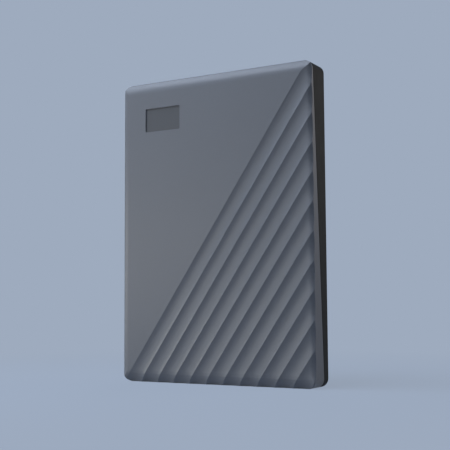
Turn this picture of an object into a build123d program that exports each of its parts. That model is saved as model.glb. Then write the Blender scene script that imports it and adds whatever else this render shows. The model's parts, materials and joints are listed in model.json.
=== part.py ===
from build123d import *
import math
import os

# Portable external hard drive: a fluted two-part plastic case around a 2.5-inch disk drive.
# Everything is drawn lying on its feet, in millimetres: x across, y along the case from its plain end
# to its port end, z up from the feet to the fluted face. stand_up() then turns each piece onto the
# plain end with the fluted face towards -Y and the origin under the middle of the case.

# Disk pack
platter_radius = 32.5
platter_bore_radius = 10.0
platter_thickness = 0.635
platter_lift = 2.2            # deck to the platter
pack_fit = 0.05               # radial room of the platter on the hub
clamp_radius = 11.6
clamp_plate = 0.35
clamp_screw_radius = 6.5      # circle that the clamp's screws stand on
clamp_screw_count = 4

# Spindle motor
shaft_radius = 1.5
thrust_plate_height = 0.4
thrust_plate_inset = 0.1      # up from the drive's underside
running_gap = 0.05            # oil film of both bearings
sleeve_radius = 3.0
sleeve_top_gap = 0.3          # sleeve to the roof of the hub
boss_radius = 4.3             # casting boss that carries the sleeve and the stator
motor_floor = 0.9
hub_roof = 1.0
hub_deck_gap = 0.25           # deck to the hub's flange
hub_skirt_radius = 9.0        # inside of the hub
rotor_magnet_thickness = 0.7
rotor_magnet_inset = 0.6      # from the roof of the hub
air_gap = 0.4
pole_count = 9
pole_width = 0.9
core_back = 0.9               # radial width of the stator's inner ring
core_thickness = 1.4
core_lift = 0.7               # motor floor to the stator core
tooth_tip_depth = 0.6
tooth_tip_width = 4.0
coil_build = 0.45             # winding height over each pole
coil_slack = 0.05
coil_end_gap = 0.2

# Actuator
pivot_gap = 8.3               # platter edge to the pivot
pivot_angle = 107.08          # direction from the spindle to the pivot, degrees from +x
pivot_shaft_radius = 2.0
pivot_sleeve_radius = 3.6
pivot_end_gap = 0.2           # deck to the pivot's sleeve
block_radius = 5.2
arm_thickness = 0.4
arm_length = 27.5
arm_root_width = 7.2
arm_tip_width = 3.2
arm_window_start = 8.5
arm_window_end = 20.0
arm_window_rail = 1.6         # width of the arm on either side of its window
suspension_thickness = 0.1
suspension_overlap = 5.0      # length swaged onto the arm
suspension_root_width = 3.2
suspension_head_width = 1.2
lift_tab_width = 0.5
lift_tab_reach = 3.2          # past the head
head_reach = 35.0             # pivot to head
slider_length = 1.0
slider_width = 0.8
slider_height = 0.18
fly_gap = 0.1
head_inner_radius = 15.0      # innermost track
park_margin = 1.4             # parked head beyond the platter edge

# Voice coil motor
coil_thickness = 1.1
coil_inner_reach = 8.2
coil_outer_reach = 16.2
coil_winding = 2.5
coil_half_angle = 22.0
coil_frame_wall = 0.8
coil_frame_half_angle = 25.0
magnet_thickness = 0.75
magnet_inner_reach = 8.5
magnet_outer_reach = 15.8
magnet_half_angle = 36.0
coil_magnet_gap = 0.4
yoke_thickness = 0.5
yoke_inner_reach = 7.5
yoke_rim = 0.4                # outside the legs
yoke_wall_gap = 0.3
yoke_leg_depth = 1.6
yoke_leg_width = 2.6
yoke_leg_gap = 0.3            # coil frame to the legs
yoke_leg_spread = 30.0        # degrees either side of the middle of the swing
stop_radius = 1.0
stop_sides = 12
stop_reach = 14.0
stop_slack = 0.4              # degrees between the coil frame and a stop

# Parking ramp
ramp_gap = 0.06               # lift tab to ramp finger
ramp_finger_start = 1.4       # past the head, from the pivot
ramp_spine_start = 3.6
ramp_spine_depth = 4.2
ramp_rim_gap = 0.4            # platter edge to the ramp's finger
ramp_back_angle = 2.6         # past the parked lift tabs
ramp_cap = 0.45               # spine above the finger
ramp_pocket = 4.6             # casting's pocket below the ramp's middle
ramp_screw_bite = 0.4

# Drive casting, lid and seals
platter_gap = 0.7             # radial room round the platter
casting_side_wall = 1.725
casting_end_wall = 1.3
cavity_side_wall = 2.5        # beside the actuator bay
actuator_bay_start = 25.1     # from the spindle
coil_wall_gap = 2.0           # coil frame to the bulkhead
bulkhead = 2.1
connector_bay = 5.6
deck_floor = 0.7
drive_corner_radius = 2.5
lid_clearance = 1.115         # clamp screws to the lid
lid_thickness = 0.5
lid_margin = 0.4
gasket_margin = 0.2           # cavity edge to the gasket
gasket_width = 0.6
gasket_height = 0.2
lid_screw_side = 3.1          # from the drive's sides
lid_screw_foot = 3.0          # from the drive's plain end
lid_screw_middle = 17.6       # from the spindle
lid_screw_port = 3.7          # from the drive's port end

# Small screws, drawn with few sides
screw_head_sides = 8
screw_shank_sides = 6
screw_shank_radius = 0.6
screw_head_radius = 1.2
screw_head_height = 0.3
screw_fit = 0.05
clamp_screw_bite = 0.6
lid_screw_bite = 2.5
board_screw_bite = 1.2
pivot_screw_bite = 1.8

# Flex circuit and filters
bracket_gap = 2.5             # bracket to the chip bay
bracket_rise = 6.6            # from the pivot, along the drive
bracket_size = (10.5, 10.0)
bracket_thickness = 0.5
bracket_wall_height = 3.7
flex_thickness = 0.12
flex_rise = 0.5
flex_height = 3.2
flex_end_gap = 0.03
flex_bend_offset = 9.6        # from the pivot to where the loop meets the bracket, along y
plug_size = (6.6, 3.6)
plug_slack = 0.2
filter_side = 3.9             # from the chamber's side wall
filter_rise = 3.0             # from the start of the actuator bay
filter_size = (5.0, 2.4)
filter_height = 3.4
filter_turn = 45.0
desiccant_margin = 1.4
desiccant_headroom = 0.3

# Circuit board
board_inset = 0.1
board_thickness = 0.8
board_side_margin = 1.9
board_start = 13.0            # from the spindle
board_bite = (24.0, 12.0, 4.0)  # notch round the motor: width at the edge, width inside and depth
board_setback = 0.6           # from the drive's port end
board_slack = 0.3
insulator_thickness = 0.3
chip_bay_side = 16.4          # width of the raised bay
chip_bay_length = 21.4
chip_bay_roof = 0.8
chip_bay_wall = 1.2
chip_bay_rise = 1.5           # deck to the top of the bay
chip_height = 1.0
controller_size = 8.5
controller_place = (0.62, 0.70)  # share of the chip room's width and length
driver_size = 5.5
driver_place = (0.72, 0.20)
memory_size = 5.0
memory_place = (0.24, 0.20)
board_screw_side = 3.7
led_size = (1.6, 0.8, 0.7)
led_setback = 0.15            # from the board's edge

# Connector
port_x = -9.0
port_width = 12.2
port_height = 1.85
port_split = 1.15             # middle of the bridge between the two openings, from the port's middle
port_bridge = 0.95
port_bridge_rise = 0.6
port_chamfer = 0.72
port_wall = 0.3
port_recess = 0.5             # mouth below the case's end
port_depth = 8.4
port_window_gap = 0.2
port_back = 3.2
port_side_room = 1.6
contact_size = (0.3, 3.4, 0.12)
contact_count = 5
tongue_plate = 0.6
tongue_setback = 0.8
tongue_margin = 1.3
led_x = 4.0
pipe_radius = 0.8
pipe_block = 2.0              # square block behind the wall
pipe_gap = 0.15

# Room round the drive
side_gap = 1.075
plain_end_gap = 1.4
port_end_gap = 2.6
rear_gap = 0.55
front_gap = 0.5
bumper_reach = 13.0
bumper_lip = 2.0
pad_size = (40.0, 40.0)
foil_thickness = 0.1
foil_margin = 6.0

# Case
side_wall = 1.5
rear_wall = 1.2
face_wall = 1.5
corner_radius = 3.0
rear_edge = 0.25
end_run = 4.0                 # roll-off of the face at both ends
end_drop = 1.5
side_run = 1.95               # roll-off along the long sides
side_drop = 0.57
roll_spare = 0.3              # run of a roll-off drawn past the case's outline
split_drop_plain = 7.37       # face to split line at the plain end
split_drop_port = 1.6
reveal = 0.3
tongue_wall = 0.65
tongue_rise = 1.2
shell_fit = 0.1
hook_spots = (14.0, 34.0, 54.0, 74.0)
end_hook_x = 18.0
hook_length = 5.0
hook_height = 0.5
hook_rise = 0.45
hook_reach = 0.3
hook_room = 0.15
tab_spots = (14.0, -19.5)
tab_width = 5.0
tab_thickness = 0.9
tab_drop = 3.2
tab_hook = 0.5
rib_spots = (-18.0, 0.0, 18.0)
rib_width = 1.0
rib_height = 0.3
rib_end_gap = 18.0

# Fluted face and badge recess
flute_angle = 55.6            # degrees from the plain end
flute_pitch = 5.44
flute_depth = 0.45
flute_count = 12
first_crest = 0.49            # from the face's corner, square to the flutes
crest_drop = 0.02             # crests below the smooth face
flute_lead = 1.0              # run of the first flute past its crest and out of the face
end_strokes = 4               # straight strokes that carry each flute down a rolled edge
side_strokes = 3
badge_width = 14.5
badge_height = 8.45
badge_side = 9.6
badge_top = 9.75
badge_depth = 0.35
badge_radius = 0.45

# Feet
foot_proud = 0.4
foot_radius = 3.5
foot_inset = 9.0

# Places worked out from the sizes
cavity_radius = platter_radius + platter_gap
drive_width = 2 * (cavity_radius + casting_side_wall)
case_width = drive_width + 2 * (side_gap + side_wall)
drive_start = side_wall + plain_end_gap
spindle = (0.0, drive_start + casting_end_wall + cavity_radius)
pivot_distance = platter_radius + pivot_gap
pivot = (
    spindle[0] + pivot_distance * math.cos(math.radians(pivot_angle)),
    spindle[1] + pivot_distance * math.sin(math.radians(pivot_angle)),
)
frame_reach = coil_outer_reach + coil_frame_wall
cavity_end = pivot[1] + frame_reach + coil_wall_gap
connector_start = cavity_end + bulkhead
drive_end = connector_start + connector_bay
drive_length = drive_end - drive_start
case_length = drive_end + port_end_gap + side_wall

# Heights worked out from the sizes
rear_z = foot_proud
floor_z = rear_z + rear_wall
drive_z = floor_z + rear_gap
board_z = drive_z + board_inset
board_top_z = board_z + board_thickness
deck_under_z = board_top_z + insulator_thickness
deck_z = deck_under_z + deck_floor
platter_z = deck_z + platter_lift
hub_top_z = platter_z + platter_thickness
clamp_top_z = hub_top_z + clamp_plate
lid_z = clamp_top_z + screw_head_height + lid_clearance
rim_z = lid_z - gasket_height
drive_top_z = lid_z + lid_thickness
ceiling_z = drive_top_z + front_gap
front_z = ceiling_z + face_wall
overall_depth = front_z
motor_floor_z = drive_z + motor_floor
hub_roof_z = hub_top_z - hub_roof
bay_top_z = deck_z + chip_bay_rise

# Head stack, one arm below and one above the platter
head_stack = suspension_thickness + slider_height + fly_gap
lower_arm = (platter_z - head_stack - arm_thickness, platter_z - head_stack)
upper_arm = (hub_top_z + head_stack, hub_top_z + head_stack + arm_thickness)


def swing_angle(radius):
    """Angle at the pivot between the spindle and a head at that radius on the platter."""
    cosine = (pivot_distance**2 + head_reach**2 - radius**2) / (2 * pivot_distance * head_reach)
    return math.degrees(math.acos(cosine))


park_direction = pivot_angle - 180 + swing_angle(platter_radius + park_margin)
swing = swing_angle(platter_radius + park_margin) - swing_angle(head_inner_radius)
coil_park_direction = park_direction + 180
coil_middle_direction = coil_park_direction - swing / 2


def block(x_span, y_span, z_span):
    """Box between two limits on each axis."""
    spans = (x_span, y_span, z_span)
    size = [span[1] - span[0] for span in spans]
    centre = [(span[0] + span[1]) / 2 for span in spans]
    return Pos(*centre) * Box(*size)


def prism(sketch, bottom, top):
    """Sketch raised between two heights."""
    return Pos(0, 0, bottom) * extrude(sketch, top - bottom, dir=(0, 0, 1))


def lengthwise(sketch, at, start, end):
    """Upright section, centred at x and z, carried along y between two limits."""
    plane = Plane((at[0], start, at[1]), x_dir=(1, 0, 0), z_dir=(0, -1, 0))
    return extrude(plane * sketch, end - start, dir=(0, 1, 0))


def disc(at, radius, bottom, top):
    """Upright cylinder about a point of the plan."""
    return prism(Pos(*at) * Circle(radius), bottom, top)


def ring(at, outer, inner, bottom, top):
    """Upright tube about a point of the plan."""
    return prism(Pos(*at) * (Circle(outer) - Circle(inner)), bottom, top)


def head(at, slack, bottom, top):
    """Head of a small screw, or the seat for one when slack is given."""
    return prism(Pos(*at) * RegularPolygon(screw_head_radius + slack, screw_head_sides), bottom, top)


def shank(at, slack, bottom, top):
    """Shank of a small screw, or the hole for one when slack is given."""
    return prism(Pos(*at) * RegularPolygon(screw_shank_radius + slack, screw_shank_sides), bottom, top)


def sheet(x_span, y_span):
    """Rectangle between two limits on each axis."""
    shape = Rectangle(x_span[1] - x_span[0], y_span[1] - y_span[0])
    return Pos((x_span[0] + x_span[1]) / 2, (y_span[0] + y_span[1]) / 2) * shape


def panel(x_span, y_span, radius):
    """Rounded rectangle between two limits on each axis."""
    shape = RectangleRounded(x_span[1] - x_span[0], y_span[1] - y_span[0], radius)
    return Pos((x_span[0] + x_span[1]) / 2, (y_span[0] + y_span[1]) / 2) * shape


def around(centre, half):
    """Limits that lie half to either side of a centre."""
    return (centre - half, centre + half)


def polar(reach, degrees):
    """Point at a distance and direction from the origin."""
    turn = math.radians(degrees)
    return (reach * math.cos(turn), reach * math.sin(turn))


def from_pivot(reach, degrees):
    """Point at a distance and direction from the pivot."""
    x, y = polar(reach, degrees)
    return (pivot[0] + x, pivot[1] + y)


def sector(inner, outer, half_angle):
    """Ring sector about the origin, centred on +x."""
    edges = [
        ThreePointArc(polar(outer, -half_angle), polar(outer, 0), polar(outer, half_angle)),
        Line(polar(outer, half_angle), polar(inner, half_angle)),
        ThreePointArc(polar(inner, half_angle), polar(inner, 0), polar(inner, -half_angle)),
        Line(polar(inner, -half_angle), polar(outer, -half_angle)),
    ]
    return make_face(edges)


def at_pivot(sketch, direction):
    """Sketch drawn about the origin along +x, moved to the pivot and turned to a direction."""
    return Pos(*pivot) * Rot(0, 0, direction) * sketch


def group(pieces):
    """Separate solids kept together in one node."""
    return Compound([solid for piece in pieces for solid in piece.solids()])


# Case


def case_outline(inset):
    """Plan of the case, drawn in by an inset."""
    return panel(
        around(0, case_width / 2 - inset),
        (inset, case_length - inset),
        corner_radius - inset,
    )


def split_height(y):
    """Height of the slanting split line at a distance from the plain end."""
    drop = split_drop_plain + (split_drop_port - split_drop_plain) * y / case_length
    return front_z - drop


def below_split(rise):
    """All the space below the split plane, with the plane moved up by a rise."""
    near, far = -case_length, 2 * case_length
    depth = -case_length
    outline = Polygon(
        (near, depth),
        (far, depth),
        (far, split_height(far) + rise),
        (near, split_height(near) + rise),
        align=None,
    )
    return extrude(Plane.YZ * outline, case_width, both=True)


def roll_radius(run, drop):
    """Radius of an arc that leaves the face tangent and falls by drop over run."""
    return (run**2 + drop**2) / (2 * drop)


def rolled_section(low, high, run, drop):
    """Section with both front corners rolled off between two limits, and drawn on past them by a spare."""
    radius = roll_radius(run, drop)
    turn = math.degrees(math.asin((run + roll_spare) / radius))
    left = CenterArc((low + run, front_z - radius), radius, 90, turn)
    right = CenterArc((high - run, front_z - radius), radius, 90 - turn, turn)
    top = Line(left @ 0, right @ 1)
    rest = Polyline(right @ 0, ((right @ 0).X, rear_z), ((left @ 1).X, rear_z), left @ 1)
    return make_face([left, top, right, rest])


def rolled_slab():
    """Slab of the case's outline, with the front edges rolled off along both sections."""
    lengthways = rolled_section(0, case_length, end_run, end_drop)
    crossways = rolled_section(-case_width / 2, case_width / 2, side_run, side_drop)
    slab = extrude(Plane.YZ * lengthways, case_width, both=True)
    slab &= extrude(Plane.XZ * crossways, 2 * case_length, both=True)
    return slab & prism(case_outline(0), rear_z, front_z + face_wall)


def flute_stations():
    """Distances from the face's corner, square to the flutes: the lead-in, then each crest."""
    crests = [first_crest + flute_pitch * index for index in range(flute_count + 1)]
    return [first_crest - flute_lead, *crests]


def flute_row(stations):
    """Section of the flutes: a row of shallow arcs that meet in sharp crests, with a lead-in and a lid."""
    lead, *crests = stations
    crest = -crest_drop
    lead_rise = flute_lead * 4 * flute_depth / flute_pitch
    hollows = [
        ThreePointArc((left, crest), ((left + right) / 2, crest - flute_depth), (right, crest))
        for left, right in zip(crests, crests[1:])
    ]
    lid = Polyline(
        (crests[-1], crest),
        (crests[-1], face_wall),
        (lead, face_wall),
        (lead, crest + lead_rise),
        (crests[0], crest),
    )
    return make_face(hollows + [lid])


def flute_stroke(through, normal):
    """Cutter for the flutes on a plane through a point, so that in plan they keep their lines."""
    along = Vector(*polar(1, flute_angle))
    across = along.cross(Vector(0, 0, 1))
    direction = along - Vector(0, 0, 1) * (along.dot(normal) / normal.Z)
    sideways = direction.cross(normal).normalized()
    passed = across.dot(through - Vector(-case_width / 2, 0, 0))
    stations = [(station - passed) / across.dot(sideways) for station in flute_stations()]
    plane = Plane(through, x_dir=sideways, z_dir=-direction)
    return extrude(plane * flute_row(stations), case_width + case_length, both=True)


def roll_steps(run, drop, count):
    """Start and fall of each chord of a roll-off from where it leaves the flat, and its slope in radians."""
    radius = roll_radius(run, drop)
    turn = math.asin(run / radius) / count
    for index in range(count):
        start = turn * index
        yield radius * math.sin(start), radius * (1 - math.cos(start)), start + turn / 2


def flute_strokes():
    """Every cutter of the flutes: the flat, then the rolled plain end and the rolled right side."""
    yield flute_stroke(Vector(0, 0, front_z), Vector(0, 0, 1))
    for past, fall, slope in roll_steps(end_run, end_drop, end_strokes):
        through = Vector(0, end_run - past, front_z - fall)
        yield flute_stroke(through, Vector(0, -math.sin(slope), math.cos(slope)))
    for past, fall, slope in roll_steps(side_run, side_drop, side_strokes):
        through = Vector(case_width / 2 - side_run + past, 0, front_z - fall)
        yield flute_stroke(through, Vector(math.sin(slope), 0, math.cos(slope)))


def badge_recess():
    """Shallow bare pocket in the smooth corner of the face."""
    left = badge_side - case_width / 2
    top = case_length - badge_top
    plan = panel((left, left + badge_width), (top - badge_height, top), badge_radius)
    return prism(plan, front_z - badge_depth, front_z + badge_depth)


def interior():
    """Room inside the two shells."""
    return prism(case_outline(side_wall), floor_z, ceiling_z)


def hook_places():
    """Centre and direction of each snap hook on the tongue's outer face."""
    face = side_wall - tongue_wall
    for y in hook_spots:
        yield (case_width / 2 - face, y), (1, 0)
        yield (face - case_width / 2, y), (-1, 0)
    for x in (-end_hook_x, end_hook_x):
        yield (x, face), (0, -1)


def hook_block(at, out, reach, slack):
    """Snap hook, or the pocket for it when slack is given, reaching out from the tongue."""
    half = hook_length / 2 + slack
    low = split_height(at[1]) + hook_rise - slack
    high = low + hook_height + 2 * slack
    root = tongue_wall / 2
    if out[0]:
        span = sorted((at[0] - out[0] * root, at[0] + out[0] * reach))
        return block(span, around(at[1], half), (low, high))
    span = sorted((at[1] - out[1] * root, at[1] + out[1] * reach))
    return block(around(at[0], half), span, (low, high))


def cover_tab(x):
    """Spring tab that hangs from the cover behind the port end wall."""
    face = case_length - side_wall - shell_fit
    leg = block(
        around(x, tab_width / 2),
        (face - tab_thickness, face),
        (ceiling_z - tab_drop, ceiling_z + face_wall / 2),
    )
    catch = block(
        around(x, tab_width / 2),
        (face, face + shell_fit + hook_reach),
        (ceiling_z - tab_drop, ceiling_z - tab_drop + tab_hook),
    )
    return leg + catch


def tab_slot(x):
    """Slot in the port end wall that takes a spring tab's catch."""
    face = case_length - side_wall
    return block(
        around(x, tab_width / 2 + hook_room),
        (face - hook_room, face + hook_reach + hook_room),
        (ceiling_z - tab_drop - hook_room, ceiling_z - tab_drop + tab_hook + hook_room),
    )


def front_cover():
    """Fluted cover with a stepped rim that drops over the base's tongue."""
    cover = rolled_slab() - below_split(0)
    cover -= interior()
    step = prism(case_outline(side_wall - tongue_wall - shell_fit), rear_z, ceiling_z)
    cover -= step & below_split(tongue_rise + shell_fit)
    for at, out in hook_places():
        cover -= hook_block(at, out, shell_fit + hook_reach + hook_room, hook_room)
    for stroke in flute_strokes():
        cover -= stroke
    cover -= badge_recess()
    for x in tab_spots:
        cover += cover_tab(x)
    return cover


def base_tongue():
    """Lip that stands up inside the cover's rim and closes the reveal."""
    lip = case_outline(side_wall - tongue_wall) - case_outline(side_wall)
    standing = prism(lip, floor_z, ceiling_z - shell_fit)
    return standing & below_split(tongue_rise)


def foot_places():
    """Centres of the feet."""
    for x in around(0, case_width / 2 - foot_inset):
        for y in (foot_inset, case_length - foot_inset):
            yield (x, y)


def base_shell():
    """Black tray with the port window, the tongue and its hooks, and ribs on its floor."""
    base = prism(case_outline(0), rear_z, front_z)
    base = chamfer(base.faces().sort_by(Axis.Z)[0].edges(), rear_edge)
    base &= below_split(-reveal)
    base -= interior()
    base += base_tongue()
    for at, out in hook_places():
        base += hook_block(at, out, shell_fit + hook_reach, 0)
    for x in rib_spots:
        rib_ends = (side_wall + rib_end_gap, case_length - side_wall - rib_end_gap)
        base += block(around(x, rib_width / 2), rib_ends, (floor_z - rear_wall / 2, floor_z + rib_height))
    for x in tab_spots:
        base -= tab_slot(x)
    base -= port_prism(port_wall + port_window_gap, case_length - 2 * side_wall, case_length + side_wall)
    base -= pipe_rod(pipe_radius + running_gap, case_length - 2 * side_wall, case_length + side_wall)
    return base


def rubber_feet():
    """Four round feet stuck to the back."""
    return group(disc(at, foot_radius, rear_z - foot_proud, rear_z) for at in foot_places())


def drive_outline(inset):
    """Plan of the drive, drawn in by an inset."""
    return panel(
        around(0, drive_width / 2 - inset),
        (drive_start + inset, drive_end - inset),
        drive_corner_radius,
    )


def corner_bumper(side, at_port):
    """Rubber cup that fills the room between one corner of the drive and the case."""
    x_edge = case_width / 2 - side_wall
    x_span = sorted((side * x_edge, side * (x_edge - bumper_reach)))
    y_edge = case_length - side_wall if at_port else side_wall
    y_span = sorted((y_edge, y_edge + (-bumper_reach if at_port else bumper_reach)))
    bumper = interior() & block(x_span, y_span, (floor_z, ceiling_z))
    x_drive, y_drive = around(0, drive_width / 2), (drive_start, drive_end)
    bumper -= block(x_drive, y_drive, (drive_z, drive_top_z))
    x_lip, y_lip = around(0, drive_width / 2 - bumper_lip), (drive_start + bumper_lip, drive_end - bumper_lip)
    return bumper - block(x_lip, y_lip, (floor_z, ceiling_z))


def foam_pad():
    """Pad between the lid and the inside of the cover."""
    plan = sheet(around(spindle[0], pad_size[0] / 2), around(spindle[1], pad_size[1] / 2))
    return prism(plan, drive_top_z, ceiling_z)


# Connector and status light


def port_outline(grow):
    """Connector opening: a wide and a narrow bay joined by a low bridge, with cut lower corners."""
    half = port_width / 2
    top, low = port_height / 2, -port_height / 2
    left, right = port_split - port_bridge / 2, port_split + port_bridge / 2
    bridge = low + port_bridge_rise
    shape = Polygon(
        (-half, top),
        (half, top),
        (half, low + port_chamfer),
        (half - port_chamfer, low),
        (right + port_bridge_rise, low),
        (right, bridge),
        (left, bridge),
        (left - port_bridge_rise, low),
        (port_chamfer - half, low),
        (-half, low + port_chamfer),
        align=None,
    )
    if grow:
        shape = offset(shape, grow, kind=Kind.INTERSECTION)
    return shape


def port_middle_z():
    """Height of the connector's middle, with its shell standing on the board."""
    return board_top_z + port_wall + port_height / 2


def port_prism(grow, start, end):
    """Connector outline, grown, carried along y between two limits."""
    return lengthwise(port_outline(grow), (port_x, port_middle_z()), start, end)


port_mouth = case_length - port_recess
port_start = port_mouth - port_depth


def usb_port_shell():
    """Folded metal shell, open at the mouth and at the back."""
    return port_prism(port_wall, port_start, port_mouth) - port_prism(0, port_start, port_mouth)


def port_bays():
    """Middle and width of the connector's two bays."""
    half = port_width / 2
    left, right = port_split - port_bridge / 2, port_split + port_bridge / 2
    return ((left - half) / 2, left + half), ((right + half) / 2, half - right)


def tongue_span():
    """Height limits of the plates that carry the contacts."""
    middle = port_middle_z() + port_height / 8
    return around(middle, tongue_plate / 2)


def usb_port_insulator():
    """Moulded block that fills the back of the shell, with one contact plate in each bay."""
    insulator = port_prism(0, port_start, port_start + port_back)
    for middle, width in port_bays():
        insulator += block(
            around(port_x + middle, width / 2 - tongue_margin / 2),
            (port_start + port_back / 2, port_mouth - tongue_setback),
            tongue_span(),
        )
    return insulator


def usb_port_contacts():
    """Gilt strips under the contact plates."""
    strips = []
    top = tongue_span()[0]
    end = port_mouth - tongue_setback
    for middle, width in port_bays():
        pitch = (width - tongue_margin) / contact_count
        for index in range(contact_count):
            x = port_x + middle + pitch * (index - (contact_count - 1) / 2)
            span = around(x, contact_size[0] / 2)
            strips.append(block(span, (end - contact_size[1], end), (top - contact_size[2], top)))
    return group(strips)


board_end = drive_end - board_setback


def led_middle_z():
    """Height of the status light and of its pipe."""
    return board_top_z + led_size[2] / 2


def status_led():
    """Small light at the board's edge."""
    end = board_end - led_setback
    return block(
        around(led_x, led_size[0] / 2),
        (end - led_size[1], end),
        (board_top_z, board_top_z + led_size[2]),
    )


def pipe_rod(radius, start, end):
    """Round rod along y in front of the status light."""
    return lengthwise(Circle(radius), (led_x, led_middle_z()), start, end)


def light_pipe():
    """Clear rod through the end wall, on a square block that stops it from the inside."""
    inside = case_length - side_wall
    start = board_end - led_setback + pipe_gap
    bar = lengthwise(Rectangle(pipe_block, pipe_block), (led_x, led_middle_z()), start, inside)
    return bar + pipe_rod(pipe_radius, inside, case_length)


# Circuit board


def board_outline(grow):
    """Plan of the circuit board, with a bite round the spindle motor."""
    half = drive_width / 2 - board_side_margin + grow
    start = spindle[1] + board_start - grow
    plan = sheet(around(0, half), (start, board_end + grow))
    wide, narrow, depth = board_bite[0] / 2 - grow, board_bite[1] / 2 - grow, board_bite[2]
    bite = Polygon((-wide, 0), (wide, 0), (narrow, depth), (-narrow, depth), align=None)
    return plan - Pos(spindle[0], start) * bite


def chip_bay():
    """Limits of the raised bay in the casting that gives the chips their room."""
    x_end = drive_width / 2 - cavity_side_wall
    return (x_end - chip_bay_side, x_end), (cavity_end - chip_bay_length, cavity_end)


def chip_room():
    """Limits of the pocket below the bay's roof."""
    x_span, y_span = chip_bay()
    return (
        (x_span[0] + chip_bay_wall, x_span[1] - chip_bay_wall),
        (y_span[0] + chip_bay_wall, y_span[1] - chip_bay_wall),
    )


def bracket_spans():
    """Plan limits of the flex bracket's foot."""
    x = chip_bay()[0][0] - bracket_gap
    y = pivot[1] + bracket_rise
    return (x - bracket_size[0], x), (y, y + bracket_size[1])


def plug_plan(grow):
    """Plan of the plug that joins the flex circuit to the board, centred under its bracket."""
    x_span, y_span = bracket_spans()
    centre = (sum(x_span) / 2, sum(y_span) / 2)
    return Pos(*centre) * Rectangle(plug_size[0] + 2 * grow, plug_size[1] + 2 * grow)


def board_screw_places():
    """Plan of the four board screws."""
    for x in around(0, drive_width / 2 - board_screw_side):
        for y in (spindle[1] + lid_screw_middle, drive_end - lid_screw_port):
            yield (x, y)


def circuit_board():
    """Board under the casting, between the motor and the connector."""
    board = prism(board_outline(0), board_z, board_top_z)
    for at in board_screw_places():
        board -= shank(at, screw_fit, board_z, board_top_z)
    return board


def connector_room():
    """Plan limits of the bay in the casting for the connector and the status light."""
    left = port_x - port_width / 2 - port_side_room
    right = led_x + led_size[0] + port_side_room
    return (left, right), (connector_start, drive_end + connector_bay)


def board_insulator():
    """Foam sheet between board and casting, open over the chips and the plug and clear of the screws."""
    half = drive_width / 2 - board_screw_side - screw_head_radius
    plan = board_outline(0) & sheet(around(0, half), (spindle[1], connector_start))
    plan -= sheet(*chip_room())
    plan -= plug_plan(plug_slack)
    return prism(plan, board_top_z, deck_under_z)


def board_screws():
    """Screws that hold the board up against the casting."""
    return group(
        head(at, 0, board_z - screw_head_height, board_z)
        + shank(at, 0, board_z, deck_z + board_screw_bite)
        for at in board_screw_places()
    )


def chip(place, size):
    """Square chip in the chip bay, at a share of the room's width and length."""
    x_span, y_span = chip_room()
    x = x_span[0] + place[0] * (x_span[1] - x_span[0])
    y = y_span[0] + place[1] * (y_span[1] - y_span[0])
    return block(around(x, size / 2), around(y, size / 2), (board_top_z, board_top_z + chip_height))


def shield_foil():
    """Foil stuck to the drive's underside over the board, between the screw heads."""
    plan = sheet(
        around(0, drive_width / 2 - foil_margin),
        (spindle[1] + board_start - foil_margin, drive_end - foil_margin),
    )
    return prism(plan, drive_z - foil_thickness, drive_z)


# Drive housing


def ramp_centre():
    """Middle of the parking ramp in plan."""
    return from_pivot(head_reach + ramp_spine_start, park_direction)


def cavity_plan(grow):
    """Plan of the sealed chamber, grown: the platter's circle, the actuator bay and a pocket for the ramp."""
    bay_half = drive_width / 2 - cavity_side_wall + grow
    bay_start = spindle[1] + actuator_bay_start - grow
    pocket_start = ramp_centre()[1] - ramp_pocket - grow
    plan = Pos(*spindle) * Circle(cavity_radius + grow)
    plan += sheet(around(0, bay_half), (bay_start, cavity_end + grow))
    return plan + sheet((spindle[0], bay_half), (pocket_start, cavity_end + grow))


def lid_screw_places():
    """Plan of the screws round the lid."""
    for x in around(0, drive_width / 2 - lid_screw_side):
        for y in (drive_start + lid_screw_foot, spindle[1] + lid_screw_middle, drive_end - lid_screw_port):
            yield (x, y)


def casting_underside():
    """What is cut from below: the board's seat, chip pocket, connector bay and plug window."""
    cuts = prism(board_outline(board_slack), drive_z, deck_under_z)
    cuts += block(*chip_room(), (drive_z, bay_top_z - chip_bay_roof))
    port_top = port_middle_z() + port_height / 2 + port_wall + board_slack
    cuts += block(*connector_room(), (drive_z, port_top))
    return cuts + prism(plug_plan(plug_slack), drive_z, deck_z)


def drive_casting():
    """Cast base with the chamber, the motor's well and boss, and the seats on its underside."""
    casting = prism(drive_outline(0), drive_z, rim_z)
    casting -= prism(cavity_plan(0), deck_z, rim_z)
    casting += block(*chip_bay(), (deck_under_z, bay_top_z))
    casting -= casting_underside()
    well = hub_skirt_radius - rotor_magnet_thickness
    casting -= disc(spindle, well, motor_floor_z, deck_z)
    casting += ring(spindle, boss_radius, sleeve_radius, motor_floor_z, stator_top())
    casting -= disc(spindle, sleeve_radius, drive_z, motor_floor_z)
    for at in lid_screw_places():
        casting -= shank(at, screw_fit, lid_z - lid_screw_bite, rim_z)
    for at in board_screw_places():
        casting -= shank(at, screw_fit, drive_z, deck_z + board_screw_bite + screw_fit)
    casting -= shank(ramp_screw_place(), screw_fit, deck_z - ramp_screw_bite, deck_z)
    return casting


def drive_lid():
    """Pressed lid with sunk screw seats."""
    lid = prism(drive_outline(lid_margin), lid_z, drive_top_z)
    for at in [*lid_screw_places(), pivot]:
        lid -= shank(at, screw_fit, lid_z, drive_top_z)
        lid -= head(at, screw_fit, drive_top_z - screw_head_height, drive_top_z)
    return lid


def lid_gasket():
    """Seal between the chamber's rim and the lid, in a closed band round the chamber."""
    band = cavity_plan(gasket_margin + gasket_width) - cavity_plan(gasket_margin)
    return prism(band, rim_z, lid_z)


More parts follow.
